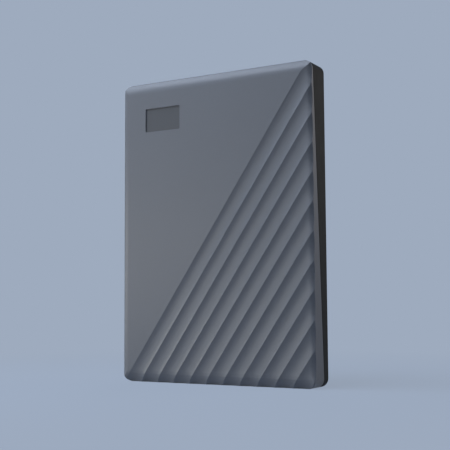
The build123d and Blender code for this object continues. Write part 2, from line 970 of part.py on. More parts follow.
def lid_screws():
    """Sunk screws round the lid, and the one into the pivot."""
    seat = drive_top_z - screw_head_height
    bites = [(at, lid_screw_bite - screw_fit) for at in lid_screw_places()]
    bites.append((pivot, pivot_screw_bite - screw_fit))
    return group(
        head(at, 0, seat, drive_top_z) + shank(at, 0, lid_z - bite, seat)
        for at, bite in bites
    )


# Spindle motor and disk pack


def stator_top():
    """Top of the stator core, where its boss ends too."""
    return motor_floor_z + core_lift + core_thickness


def thrust_plate():
    """Plate that closes the bearing from below."""
    bottom = drive_z + thrust_plate_inset
    return disc(spindle, sleeve_radius, bottom, bottom + thrust_plate_height)


def bearing_sleeve():
    """Fixed sleeve of the spindle's fluid bearing."""
    bottom = drive_z + thrust_plate_inset + thrust_plate_height
    return ring(spindle, sleeve_radius, shaft_radius + running_gap, bottom, hub_roof_z - sleeve_top_gap)


def spindle_shaft():
    """Turning shaft that carries the hub."""
    bottom = drive_z + thrust_plate_inset + thrust_plate_height + running_gap
    return disc(spindle, shaft_radius, bottom, hub_top_z)


def stator_core():
    """Laminated core: inner ring, poles and their tips."""
    reach = hub_skirt_radius - rotor_magnet_thickness - air_gap
    tip_end = math.sqrt(reach**2 - (tooth_tip_width / 2) ** 2)
    pole = sheet((boss_radius, tip_end), around(0, pole_width / 2))
    tooth = pole + sheet((tip_end - tooth_tip_depth, tip_end), around(0, tooth_tip_width / 2))
    back = RegularPolygon(boss_radius + core_back, pole_count)
    plan = back + [spot * tooth for spot in PolarLocations(0, pole_count)]
    plan -= Circle(boss_radius)
    return prism(Pos(*spindle) * plan, motor_floor_z + core_lift, stator_top())


def stator_coils():
    """One winding round each pole."""
    start = boss_radius + core_back + coil_end_gap
    reach = hub_skirt_radius - rotor_magnet_thickness - air_gap
    end = math.sqrt(reach**2 - (tooth_tip_width / 2) ** 2) - tooth_tip_depth - coil_end_gap
    low = motor_floor_z + core_lift
    half = pole_width / 2
    outside = block(
        (start, end),
        around(0, half + coil_slack + coil_build),
        (low - coil_slack - coil_build, stator_top() + coil_slack + coil_build),
    )
    pole_room = block(
        (start, end),
        around(0, half + coil_slack),
        (low - coil_slack, stator_top() + coil_slack),
    )
    winding = outside - pole_room
    return group(Pos(*spindle) * spot * winding for spot in PolarLocations(0, pole_count))


def spindle_hub():
    """Turned hub: flange for the platter, skirt round the magnet and roof on the shaft."""
    low = deck_z + hub_deck_gap
    outer = platter_bore_radius - pack_fit
    half_section = Polygon(
        (shaft_radius, hub_roof_z),
        (hub_skirt_radius, hub_roof_z),
        (hub_skirt_radius, low),
        (clamp_radius, low),
        (clamp_radius, platter_z),
        (outer, platter_z),
        (outer, hub_top_z),
        (shaft_radius, hub_top_z),
        align=None,
    )
    hub = Pos(*spindle) * revolve(Plane.XZ * half_section, Axis.Z)
    for at in clamp_screw_places():
        hub -= shank(at, screw_fit, hub_top_z - clamp_screw_bite - screw_fit, hub_top_z)
    return hub


def rotor_magnet():
    """Magnet ring inside the hub's skirt."""
    inner = hub_skirt_radius - rotor_magnet_thickness
    return ring(spindle, hub_skirt_radius, inner, deck_z + hub_deck_gap, hub_roof_z - rotor_magnet_inset)


def platter():
    """Polished disk."""
    return ring(spindle, platter_radius, platter_bore_radius, platter_z, hub_top_z)


def clamp_screw_places():
    """Plan of the clamp's screws."""
    for index in range(clamp_screw_count):
        x, y = polar(clamp_screw_radius, 360 * (index + 0.5) / clamp_screw_count)
        yield (spindle[0] + x, spindle[1] + y)


def disk_clamp():
    """Disk that presses the platter down on the hub's flange."""
    clamp = disc(spindle, clamp_radius, hub_top_z, clamp_top_z)
    for at in clamp_screw_places():
        clamp -= shank(at, screw_fit, hub_top_z, clamp_top_z)
    return clamp


def clamp_screws():
    """Screws from the clamp into the hub."""
    return group(
        head(at, 0, clamp_top_z, clamp_top_z + screw_head_height)
        + shank(at, 0, hub_top_z - clamp_screw_bite, clamp_top_z)
        for at in clamp_screw_places()
    )


# Actuator


def arm_plan():
    """Tapered arm along +x with a long lightening window."""
    root, tip = arm_root_width / 2, arm_tip_width / 2
    plan = Polygon((0, -root), (arm_length, -tip), (arm_length, tip), (0, root), align=None)
    start, end = arm_window_start, arm_window_end
    wide, narrow = [root + (tip - root) * x / arm_length - arm_window_rail for x in (start, end)]
    return plan - Polygon((start, -wide), (end, -narrow), (end, narrow), (start, wide), align=None)


def actuator_block():
    """Pair of arms on the pivot's barrel."""
    comb = disc(pivot, block_radius, lower_arm[0], upper_arm[1])
    for bottom, top in (lower_arm, upper_arm):
        comb += prism(at_pivot(arm_plan(), park_direction), bottom, top)
    return comb - disc(pivot, pivot_sleeve_radius, lower_arm[0], upper_arm[1])


def suspension_plan():
    """Spring plate from the arm to the head, ending in a narrow lift tab."""
    root, nose, tab = suspension_root_width / 2, suspension_head_width / 2, lift_tab_width / 2
    start = arm_length - suspension_overlap
    nose_start = head_reach - slider_length
    nose_end = head_reach + slider_length
    tip = head_reach + lift_tab_reach
    side = [
        (start, root),
        (arm_length, root),
        (nose_start, nose),
        (nose_end, nose),
        (nose_end, tab),
        (tip, tab),
    ]
    mirrored = [(x, -y) for x, y in reversed(side)]
    return Polygon(*side, *mirrored, align=None)


def suspension_bottoms():
    """Underside of each suspension, from the lowest up, and whether its head faces up."""
    return (lower_arm[1], True), (upper_arm[0] - suspension_thickness, False)


def head_suspensions():
    """Two spring plates, one for each face of the platter."""
    plan = at_pivot(suspension_plan(), park_direction)
    bottoms = [bottom for bottom, faces_up in suspension_bottoms()]
    return group(prism(plan, bottom, bottom + suspension_thickness) for bottom in bottoms)


def head_sliders():
    """Two heads, each on its suspension's platter side."""
    plan = at_pivot(Pos(head_reach, 0) * Rectangle(slider_length, slider_width), park_direction)
    sliders = []
    for bottom, faces_up in suspension_bottoms():
        seat = bottom + suspension_thickness if faces_up else bottom - slider_height
        sliders.append(prism(plan, seat, seat + slider_height))
    return group(sliders)


def pivot_shaft():
    """Fixed post between deck and lid, tapped for the lid's middle screw."""
    post = disc(pivot, pivot_shaft_radius, deck_z, lid_z)
    return post - shank(pivot, screw_fit, lid_z - pivot_screw_bite, lid_z)


def pivot_sleeve():
    """Bearing cartridge that turns with the actuator."""
    bore = pivot_shaft_radius + running_gap
    return ring(pivot, pivot_sleeve_radius, bore, deck_z + pivot_end_gap, upper_arm[1])


# Voice coil motor


lower_yoke_top = deck_z + yoke_thickness
lower_magnet_top = lower_yoke_top + magnet_thickness
coil_z = (lower_magnet_top + coil_magnet_gap, lower_magnet_top + coil_magnet_gap + coil_thickness)
upper_magnet_z = coil_z[1] + coil_magnet_gap
upper_yoke_z = upper_magnet_z + magnet_thickness
stop_angle = math.degrees(math.asin(stop_radius / stop_reach)) + stop_slack
yoke_half_angle = swing / 2 + coil_frame_half_angle + 2 * stop_angle
leg_reach = frame_reach + yoke_leg_gap
yoke_outer_reach = leg_reach + yoke_leg_depth + yoke_rim


def coil_outline():
    """Outer edge of the voice coil."""
    return sector(coil_inner_reach, coil_outer_reach, coil_half_angle)


def coil_window():
    """Open middle of the voice coil."""
    middle = (coil_inner_reach + coil_outer_reach) / 2
    narrowing = math.degrees(coil_winding / middle)
    return sector(
        coil_inner_reach + coil_winding,
        coil_outer_reach - coil_winding,
        coil_half_angle - narrowing,
    )


def voice_coil():
    """Flat wound coil in the magnets' gap."""
    return prism(at_pivot(coil_outline() - coil_window(), coil_park_direction), *coil_z)


def coil_frame():
    """Moulded fork that holds the coil on the actuator's barrel."""
    fork = sector(block_radius, frame_reach, coil_frame_half_angle)
    return prism(at_pivot(fork - coil_outline(), coil_park_direction), *coil_z)


def yoke_room():
    """Part of the actuator bay that the yoke may fill."""
    half = drive_width / 2 - cavity_side_wall - yoke_wall_gap
    return sheet(around(0, half), (spindle[1] + actuator_bay_start, cavity_end - yoke_wall_gap))


def yoke_plan():
    """Steel plate over the whole travel of the coil, kept off the chamber's wall."""
    plan = at_pivot(sector(yoke_inner_reach, yoke_outer_reach, yoke_half_angle), coil_middle_direction)
    return plan & yoke_room()


def magnet_plan():
    """Curved magnet under the coil's travel."""
    return at_pivot(sector(magnet_inner_reach, magnet_outer_reach, magnet_half_angle), coil_middle_direction)


def yoke_posts():
    """Legs that hold the two yoke plates apart."""
    leg = sheet((leg_reach, leg_reach + yoke_leg_depth), around(0, yoke_leg_width / 2))
    plans = [at_pivot(leg, turn) & yoke_room() for turn in around(coil_middle_direction, yoke_leg_spread)]
    return group(prism(plan, lower_yoke_top, upper_yoke_z) for plan in plans)


def crash_stops():
    """Rubber posts that catch the coil frame at each end of its swing."""
    reach = swing / 2 + coil_frame_half_angle + stop_angle
    post = Pos(stop_reach, 0) * RegularPolygon(stop_radius, stop_sides)
    turns = around(coil_middle_direction, reach)
    return group(prism(at_pivot(post, turn), lower_yoke_top, upper_yoke_z) for turn in turns)


# Parking ramp, flex circuit and filters


def ramp_inner_angle():
    """Direction from the pivot at which the ramp's finger reaches the platter's edge."""
    reach = head_reach + (ramp_finger_start + ramp_spine_start) / 2
    edge = platter_radius + ramp_rim_gap
    cosine = (pivot_distance**2 + reach**2 - edge**2) / (2 * pivot_distance * reach)
    return pivot_angle - 180 + math.degrees(math.acos(cosine))


def ramp_sector(start, end):
    """Ring sector about the pivot over the ramp's angles."""
    low, high = ramp_inner_angle(), park_direction + ramp_back_angle
    return at_pivot(sector(head_reach + start, head_reach + end, (high - low) / 2), (low + high) / 2)


def ramp_screw_place():
    """Plan of the screw through the ramp's spine."""
    middle = (ramp_inner_angle() + park_direction + ramp_back_angle) / 2
    return from_pivot(head_reach + ramp_spine_start + ramp_spine_depth / 2, middle)


ramp_top_z = hub_top_z + slider_height + fly_gap - ramp_gap + ramp_cap


def parking_ramp():
    """Spine beside the platter with a finger that the two lift tabs park on."""
    ramp = prism(ramp_sector(ramp_spine_start, ramp_spine_start + ramp_spine_depth), deck_z, ramp_top_z)
    cheek = slider_height + fly_gap - ramp_gap
    finger = ramp_sector(ramp_finger_start, ramp_spine_start + ramp_spine_depth / 2)
    ramp += prism(finger, platter_z - cheek, hub_top_z + cheek)
    return ramp - shank(ramp_screw_place(), screw_fit, deck_z, ramp_top_z)


def ramp_screw():
    """Screw that holds the ramp on the deck."""
    at = ramp_screw_place()
    body = shank(at, 0, deck_z - ramp_screw_bite + screw_fit, ramp_top_z)
    return body + head(at, 0, ramp_top_z, ramp_top_z + screw_head_height)


def flex_bracket():
    """Bracket on the deck with an upright wall for the flex circuit and the plug below."""
    x_span, y_span = bracket_spans()
    bracket = block(x_span, y_span, (deck_z, deck_z + bracket_thickness))
    wall_span = (x_span[0], x_span[0] + bracket_thickness)
    bracket += block(wall_span, y_span, (deck_z, deck_z + bracket_wall_height))
    return bracket + prism(plug_plan(0), board_top_z, deck_z + bracket_thickness / 2)


def flex_cable():
    """Flex circuit in one round loop, tangent to the actuator's barrel and to the bracket's wall."""
    across = bracket_spans()[0][0] - pivot[0] - flex_end_gap
    barrel = block_radius + flex_end_gap
    radius = (across**2 + flex_bend_offset**2 - barrel**2) / (2 * (across + barrel))
    centre = (pivot[0] + across - radius, pivot[1] + flex_bend_offset)
    turn = math.degrees(math.atan2(pivot[1] - centre[1], pivot[0] - centre[0])) % 360
    loop = Rot(0, 0, turn / 2) * sector(radius - flex_thickness, radius, turn / 2)
    return prism(Pos(*centre) * loop, deck_z + flex_rise, deck_z + flex_rise + flex_height)


def recirculation_filter():
    """Filter pad in the air stream beside the platter."""
    x = cavity_side_wall + filter_side - drive_width / 2
    y = spindle[1] + actuator_bay_start + filter_rise
    plan = Pos(x, y) * Rot(0, 0, filter_turn) * Rectangle(*filter_size)
    return prism(plan, deck_z, deck_z + filter_height)


def desiccant_pack():
    """Drying pack on the roof of the chip bay."""
    x_span, y_span = chip_bay()
    plan = sheet(
        (x_span[0] + desiccant_margin, x_span[1] - desiccant_margin),
        (y_span[0] + desiccant_margin, y_span[1] - desiccant_margin),
    )
    return prism(plan, bay_top_z, lid_z - desiccant_headroom)


def stand_up(piece):
    """Turn a lying piece onto the plain end, fluted face towards -Y, with the depth's middle at y = 0."""
    return Pos(0, overall_depth / 2, 0) * Rot(90, 0, 0) * piece


def pieces():
    """Every node of the part, by name."""
    return {
        "front_cover": front_cover(),
        "base_shell": base_shell(),
        "rubber_feet": rubber_feet(),
        "corner_bumper_plain_left": corner_bumper(-1, False),
        "corner_bumper_plain_right": corner_bumper(1, False),
        "corner_bumper_port_left": corner_bumper(-1, True),
        "corner_bumper_port_right": corner_bumper(1, True),
        "foam_pad": foam_pad(),
        "shield_foil": shield_foil(),
        "light_pipe": light_pipe(),
        "usb_port_shell": usb_port_shell(),
        "usb_port_insulator": usb_port_insulator(),
        "usb_port_contacts": usb_port_contacts(),
        "circuit_board": circuit_board(),
        "board_insulator": board_insulator(),
        "board_screws": board_screws(),
        "status_led": status_led(),
        "controller_chip": chip(controller_place, controller_size),
        "motor_driver_chip": chip(driver_place, driver_size),
        "memory_chip": chip(memory_place, memory_size),
        "drive_casting": drive_casting(),
        "drive_lid": drive_lid(),
        "lid_gasket": lid_gasket(),
        "lid_screws": lid_screws(),
        "thrust_plate": thrust_plate(),
        "bearing_sleeve": bearing_sleeve(),
        "stator_core": stator_core(),
        "stator_coils": stator_coils(),
        "spindle_shaft": spindle_shaft(),
        "spindle_hub": spindle_hub(),
        "rotor_magnet": rotor_magnet(),
        "platter": platter(),
        "disk_clamp": disk_clamp(),
        "clamp_screws": clamp_screws(),
        "actuator_block": actuator_block(),
        "head_suspensions": head_suspensions(),
        "head_sliders": head_sliders(),
        "pivot_shaft": pivot_shaft(),
        "pivot_sleeve": pivot_sleeve(),
        "voice_coil": voice_coil(),
        "coil_frame": coil_frame(),
        "lower_yoke": prism(yoke_plan(), deck_z, lower_yoke_top),
        "upper_yoke": prism(yoke_plan(), upper_yoke_z, upper_yoke_z + yoke_thickness),
        "lower_magnet": prism(magnet_plan(), lower_yoke_top, lower_magnet_top),
        "upper_magnet": prism(magnet_plan(), upper_magnet_z, upper_yoke_z),
        "yoke_posts": yoke_posts(),
        "crash_stops": crash_stops(),
        "parking_ramp": parking_ramp(),
        "ramp_screw": ramp_screw(),
        "flex_bracket": flex_bracket(),
        "flex_cable": flex_cable(),
        "recirculation_filter": recirculation_filter(),
        "desiccant_pack": desiccant_pack(),
    }


def main():
    """Write one file per node and print the sizes that the record needs."""
    os.makedirs("parts", exist_ok=True)
    for name, piece in pieces().items():
        export_step(stand_up(piece), f"parts/{name}.step")
    print(f"case {case_width:.3f} x {overall_depth:.3f} x {case_length:.3f}")
    print(f"spindle {spindle[0]:.4f} {spindle[1]:.4f}")
    print(f"pivot {pivot[0]:.4f} {pivot[1]:.4f} swing {swing:.3f}")
    print(f"port mouth x {port_x:.3f} y {overall_depth / 2 - port_middle_z():.3f} z {port_mouth:.3f}")


main()
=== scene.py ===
import json
import logging
import math
from dataclasses import dataclass, replace
from enum import Enum
from typing import Any, ClassVar, Union

import bmesh
import bpy
import numpy as np
from mathutils import Matrix, Vector


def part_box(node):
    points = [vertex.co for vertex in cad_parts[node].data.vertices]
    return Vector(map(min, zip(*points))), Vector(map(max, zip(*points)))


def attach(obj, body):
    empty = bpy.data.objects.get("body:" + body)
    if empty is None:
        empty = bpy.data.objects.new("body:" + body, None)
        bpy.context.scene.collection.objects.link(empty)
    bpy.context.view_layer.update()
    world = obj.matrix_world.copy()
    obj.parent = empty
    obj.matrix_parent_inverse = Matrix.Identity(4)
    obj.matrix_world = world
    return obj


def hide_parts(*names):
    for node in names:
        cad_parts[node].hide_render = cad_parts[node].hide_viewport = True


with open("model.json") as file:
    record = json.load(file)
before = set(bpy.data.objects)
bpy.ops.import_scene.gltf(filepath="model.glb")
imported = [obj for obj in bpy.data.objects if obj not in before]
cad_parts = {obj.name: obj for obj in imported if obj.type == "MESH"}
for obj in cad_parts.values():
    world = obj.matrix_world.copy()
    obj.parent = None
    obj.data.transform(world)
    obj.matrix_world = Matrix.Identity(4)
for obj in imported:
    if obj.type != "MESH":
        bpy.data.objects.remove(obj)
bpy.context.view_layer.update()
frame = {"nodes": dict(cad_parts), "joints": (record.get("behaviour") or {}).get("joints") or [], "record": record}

MM = 0.001
MERGE_DISTANCE = 0.0001 * MM

Number = Union[int, float]
Operand = Union["Value", int, float]
Span = tuple[float, float]
Triple = tuple[float, float, float]
Colour = tuple[float, float, float]
Tint = Union["Value", Colour]
EVEN: Triple = (1.0, 1.0, 1.0)
LOG = logging.getLogger("portable_drive")


class Axis(Enum):
    """Axes of the part, as the index of a coordinate."""

    ACROSS = 0
    DEPTH = 1
    UP = 2


class Detail(Enum):
    """How much finer noise lies within the blotches of a noise."""

    PLAIN = 1.0
    FINE = 2.0
    RICH = 3.0


class LightColour(Enum):
    """Colours of the lamps, linear."""

    SKY = (0.73, 0.83, 1.0)
    PALE_SKY = (0.92, 0.96, 1.0)
    NEUTRAL = (0.96, 0.98, 1.0)
    CREAM = (1.0, 0.95, 0.84)
    WARM = (1.0, 0.87, 0.75)


def opaque(colour: Colour) -> tuple[float, float, float, float]:
    """The colour with full alpha, as a colour socket takes it."""
    return (*colour, 1.0)


# Shader arithmetic


class Value:
    """A shader socket that adds Math nodes when it is used in arithmetic."""

    def __init__(self, graph: "Graph", socket: bpy.types.NodeSocket) -> None:
        """Keep the graph and the output socket."""
        self.graph = graph
        self.socket = socket

    def _math(self, operation: str, first: Operand, second: Operand) -> "Value":
        """Math node of two operands."""
        return self.graph.node("ShaderNodeMath", {"operation": operation}, {0: first, 1: second})

    def __add__(self, other: Operand) -> "Value":
        """Sum."""
        return self._math("ADD", self, other)

    def __radd__(self, other: Number) -> "Value":
        """Sum with a number on the left."""
        return self._math("ADD", other, self)

    def __sub__(self, other: Operand) -> "Value":
        """Difference."""
        return self._math("SUBTRACT", self, other)

    def __rsub__(self, other: Number) -> "Value":
        """Difference with a number on the left."""
        return self._math("SUBTRACT", other, self)

    def __mul__(self, other: Operand) -> "Value":
        """Product."""
        return self._math("MULTIPLY", self, other)

    def __rmul__(self, other: Number) -> "Value":
        """Product with a number on the left."""
        return self._math("MULTIPLY", other, self)

    def __pow__(self, other: Operand) -> "Value":
        """Power."""
        return self._math("POWER", self, other)

    def __rpow__(self, other: Number) -> "Value":
        """Power of a number on the left."""
        return self._math("POWER", other, self)

    def ripple(self, pitch: float) -> "Value":
        """Sine of a length that repeats at a pitch, from -1 to 1."""
        turns = self * (2 * math.pi / pitch)
        return self.graph.node("ShaderNodeMath", {"operation": "SINE"}, {0: turns})

    def wave(self, pitch: float) -> "Value":
        """The ripple, from 0 to 1."""
        return self.ripple(pitch) * 0.5 + 0.5

    def clamp(self) -> "Value":
        """The value kept between 0 and 1."""
        return self.graph.node("ShaderNodeClamp", {}, {"Value": self})

    def smooth(self, low: float, high: float) -> "Value":
        """0 below low, 1 above high, with a smooth step between them."""
        sockets = {"Value": self, "From Min": low, "From Max": high}
        return self.graph.node("ShaderNodeMapRange", {"interpolation_type": "SMOOTHSTEP"}, sockets)


class Graph:
    """Node tree of one material or of the world."""

    MIX_FACTOR: ClassVar[int] = 0
    MIX_COLOURS: ClassVar[tuple[int, int]] = (6, 7)
    MIX_RESULT: ClassVar[int] = 2

    def __init__(self, tree: bpy.types.NodeTree) -> None:
        """Empty the tree and keep it."""
        tree.nodes.clear()
        self.tree = tree

    def make(self, kind: str, settings: dict[str, Any], sockets: dict[Any, Any]) -> bpy.types.Node:
        """Make any node.

        Args:
            kind: Blender's type name of the node.
            settings: Attributes, set before the sockets.
            sockets: Constants or values to link, by the input's name or index.

        Returns:
            The node.
        """
        made = self.tree.nodes.new(kind)
        for name, setting in settings.items():
            setattr(made, name, setting)
        for name, value in sockets.items():
            if isinstance(value, Value):
                self.tree.links.new(value.socket, made.inputs[name])
            else:
                made.inputs[name].default_value = value
        return made

    def node(
        self, kind: str, settings: dict[str, Any], sockets: dict[Any, Any], output: Union[int, str] = 0,
    ) -> Value:
        """Make any node and take one of its outputs.

        Args:
            kind: Blender's type name of the node.
            settings: Attributes, set before the sockets.
            sockets: Constants or values to link, by the input's name or index.
            output: Name or index of the output.

        Returns:
            The output.
        """
        return Value(self, self.make(kind, settings, sockets).outputs[output])

    def place(self) -> Value:
        """Object coordinates, in metres."""
        return self.node("ShaderNodeTexCoord", {}, {}, "Object")

    def mapped(self, scale: Triple) -> Value:
        """Object coordinates times a scale on each axis."""
        return self.node("ShaderNodeMapping", {}, {"Vector": self.place(), "Scale": scale})

    def noise(self, size: float, detail: Detail = Detail.FINE, stretch: Triple = EVEN) -> Value:
        """Noise from 0 to 1.

        Args:
            size: Size of a blotch in metres.
            detail: How much finer noise lies within the blotches.
            stretch: Length of a blotch on each axis, as a multiple of its size.

        Returns:
            The noise's factor.
        """
        scale = tuple(1.0 / (size * length) for length in stretch)
        sockets = {"Vector": self.mapped(scale), "Scale": 1.0, "Detail": detail.value}
        return self.node("ShaderNodeTexNoise", {}, sockets)

    def cells(self, size: float) -> Value:
        """Distance to the nearest of scattered points about a size apart, from 0 to about 1."""
        sockets = {"Vector": self.mapped((1.0 / size,) * 3), "Scale": 1.0}
        return self.node("ShaderNodeTexVoronoi", {}, sockets, "Distance")

    def axis(self, axis: Axis) -> Value:
        """One of the object coordinates."""
        return self.node("ShaderNodeSeparateXYZ", {}, {"Vector": self.place()}, axis.value)

    def mix(self, factor: Value, first: Tint, second: Tint) -> Value:
        """Colour between two colours, by a factor from 0 to 1."""
        sockets: dict[int, Any] = {self.MIX_FACTOR: factor}
        for socket, colour in zip(self.MIX_COLOURS, (first, second)):
            sockets[socket] = opaque(colour) if isinstance(colour, tuple) else colour
        return self.node("ShaderNodeMix", {"data_type": "RGBA"}, sockets, self.MIX_RESULT)

    def blend(self, factor: Value, first: Value, second: Value) -> Value:
        """Shader between two shaders, by a factor from 0 to 1."""
        return self.node("ShaderNodeMixShader", {}, {0: factor, 1: first, 2: second})

    def bump(self, height: Value, depth: float) -> Value:
        """Normal bent by a height from 0 to 1, where 1 stands for the depth in metres."""
        sockets = {"Height": height, "Distance": depth, "Strength": 1.0}
        return self.node("ShaderNodeBump", {}, sockets, "Normal")

    def finish(self, shader: Value) -> None:
        """Join a shader to the output."""
        of_world = isinstance(self.tree.id_data, bpy.types.World)
        kind = "ShaderNodeOutputWorld" if of_world else "ShaderNodeOutputMaterial"
        self.make(kind, {}, {"Surface": shader})


# Finishes


@dataclass(frozen=True)
class Finish:
    """A procedural finish with blotches in its colour, uneven gloss and a fine grain.

    Colours are linear. Sizes are in metres.
    """

    name: str
    colour: Colour
    roughness: float
    metallic: float = 0.0
    gleam: float = 0.5
    mottle: float = 0.06
    mottle_size: float = 6 * MM
    gloss_spread: float = 0.06
    gloss_size_share: float = 0.5
    grain_size: float = 0.25 * MM
    grain_depth: float = 0.01 * MM
    stretch: Triple = EVEN

    def shade(self, share: float) -> Colour:
        """The finish's colour times a share."""
        return tuple(min(1.0, channel * share) for channel in self.colour)

    def tint(self, graph: Graph) -> Value:
        """Colour over the surface: soft blotches a little lighter and darker than the colour."""
        blotches = graph.noise(self.mottle_size, Detail.RICH, self.stretch)
        return graph.mix(blotches, self.shade(1 - self.mottle), self.shade(1 + self.mottle))

    def height(self, graph: Graph) -> Value:
        """Height of the grain, from 0 to 1."""
        return graph.noise(self.grain_size, stretch=self.stretch)

    def gloss(self, graph: Graph) -> Value:
        """Roughness over the surface: the written value with soft blotches."""
        blotches = graph.noise(self.mottle_size * self.gloss_size_share, stretch=self.stretch)
        return blotches * (2 * self.gloss_spread) + (self.roughness - self.gloss_spread)

    def constants(self) -> dict[str, float]:
        """Shader sockets that are the same all over the surface."""
        return {"Metallic": self.metallic, "Specular IOR Level": self.gleam}

    def material(self) -> bpy.types.Material:
        """Build the material.

        Returns:
            The finished material.
        """
        made = bpy.data.materials.new(self.name)
        made.use_nodes = True
        graph = Graph(made.node_tree)
        sockets = {
            "Base Color": self.tint(graph),
            "Roughness": self.gloss(graph),
            "Normal": graph.bump(self.height(graph), self.grain_depth),
            **self.constants(),
        }
        graph.finish(graph.node("ShaderNodeBsdfPrincipled", {}, sockets))
        return made


@dataclass(frozen=True)
class Pocket:
    """Recess in a face that looks along the depth: where it starts in depth, and its sides, in metres."""

    lip: float = 0.0
    across: Span = (0.0, 0.0)
    up: Span = (0.0, 0.0)
    soft: float = 0.04 * MM

    def inside(self, graph: Graph) -> Value:
        """1 inside the recess and 0 outside, with a soft step at each side."""
        share = graph.axis(Axis.DEPTH).smooth(self.lip, self.lip + self.soft)
        for axis, (low, high) in ((Axis.ACROSS, self.across), (Axis.UP, self.up)):
            place = graph.axis(axis)
            share = share * place.smooth(low, low + self.soft) * (1 - place.smooth(high - self.soft, high))
        return share


@dataclass(frozen=True)
class SatinPaint(Finish):
    """Satin paint: tiny flakes in an even coat with a faint orange peel, and a darker floor in a pocket."""

    pocket: Pocket = Pocket()
    pocket_shade: float = 0.54
    flake: float = 0.10
    flake_band: Span = (0.55, 0.75)
    flake_shade: float = 2.2
    peel_size: float = 1.4 * MM
    peel_share: float = 0.4

    def tint(self, graph: Graph) -> Value:
        """Colour over the surface: soft blotches with tiny lighter flakes, darker in the pocket."""
        flakes = graph.noise(self.grain_size, Detail.PLAIN).smooth(*self.flake_band)
        coat = graph.mix(flakes * self.flake, super().tint(graph), self.shade(self.flake_shade))
        return graph.mix(self.pocket.inside(graph), coat, self.shade(self.pocket_shade))

    def height(self, graph: Graph) -> Value:
        """Height of the coat: the grain with a broad orange peel under it."""
        grain = graph.noise(self.grain_size, Detail.PLAIN) * (1 - self.peel_share)
        return grain + graph.noise(self.peel_size, Detail.PLAIN) * self.peel_share


@dataclass(frozen=True)
class SparkedPlastic(Finish):
    """Moulded plastic with the pitted texture of a spark-eroded tool."""

    pit_share: float = 0.7
    fine_size_share: float = 0.5

    def height(self, graph: Graph) -> Value:
        """Height of the texture: small pits between rounded bumps."""
        fine = graph.noise(self.grain_size * self.fine_size_share)
        return graph.cells(self.grain_size) * self.pit_share + fine * (1 - self.pit_share)


@dataclass(frozen=True)
class Turned(Finish):
    """Metal turned on a lathe: fine rings about an axis along the depth."""

    centre: Span = (0.0, 0.0)
    ring_pitch: float = 0.3 * MM
    ring_share: float = 0.8

    def height(self, graph: Graph) -> Value:
        """Height of the rings, a wave of the distance from the axis, with a little noise."""
        x = graph.axis(Axis.ACROSS) - self.centre[0]
        z = graph.axis(Axis.UP) - self.centre[1]
        rings = ((x * x + z * z) ** 0.5).wave(self.ring_pitch)
        return rings * self.ring_share + graph.noise(self.grain_size) * (1 - self.ring_share)


@dataclass(frozen=True)
class Striped(Finish):
    """Parallel ridges along one axis, as in laminated steel or wound wire."""

    across: Axis = Axis.DEPTH
    ridge_pitch: float = 0.2 * MM

    def height(self, graph: Graph) -> Value:
        """Height of the ridges: a wave of the place along the axis."""
        return graph.axis(self.across).wave(self.ridge_pitch)


@dataclass(frozen=True)
class SolderMask(Finish):
    """Circuit board: solder mask over a web of tracks."""

    track_pitch: float = 1.2 * MM
    track_band: Span = (0.1, 0.5)
    track_shade: float = 1.7
    bend: float = 4 * MM
    bend_size: float = 8 * MM

    def tracks(self, graph: Graph) -> Value:
        """1 on the tracks and 0 between them: bands where a bent ripple runs high."""
        bent = graph.axis(Axis.UP) + graph.noise(self.bend_size, Detail.PLAIN) * self.bend
        return bent.ripple(self.track_pitch).smooth(*self.track_band)

    def tint(self, graph: Graph) -> Value:
        """Colour: lighter over the tracks."""
        return graph.mix(self.tracks(graph), super().tint(graph), self.shade(self.track_shade))

    def height(self, graph: Graph) -> Value:
        """Height: the tracks stand up under the mask."""
        return self.tracks(graph)


@dataclass(frozen=True)
class Cellular(Finish):
    """Open foam, felt or rubber: small pits, with painted shade that makes them darker inside."""

    pit_band: Span = (0.1, 0.6)
    painted_pit_shade: float = 0.45
    painted_wall_light: float = 1.1

    def tint(self, graph: Graph) -> Value:
        """Colour: painted shade, darker in the pits, with the walls between them painted a little lighter."""
        # Painted shade: the pits are darkened and the walls between them lightened in the colour.
        walls = graph.cells(self.grain_size).smooth(*self.pit_band)
        return graph.mix(walls, self.shade(self.painted_pit_shade), self.shade(self.painted_wall_light))

    def height(self, graph: Graph) -> Value:
        """Height: the walls between the pits."""
        return graph.cells(self.grain_size)


@dataclass(frozen=True)
class ClearPlastic(Finish):
    """Clear moulded plastic with a faint flow pattern."""

    clearness: float = 0.9
    refraction: float = 1.49

    def constants(self) -> dict[str, float]:
        """Shader sockets that are the same all over the surface."""
        return {"Metallic": self.metallic, "Transmission Weight": self.clearness, "IOR": self.refraction}


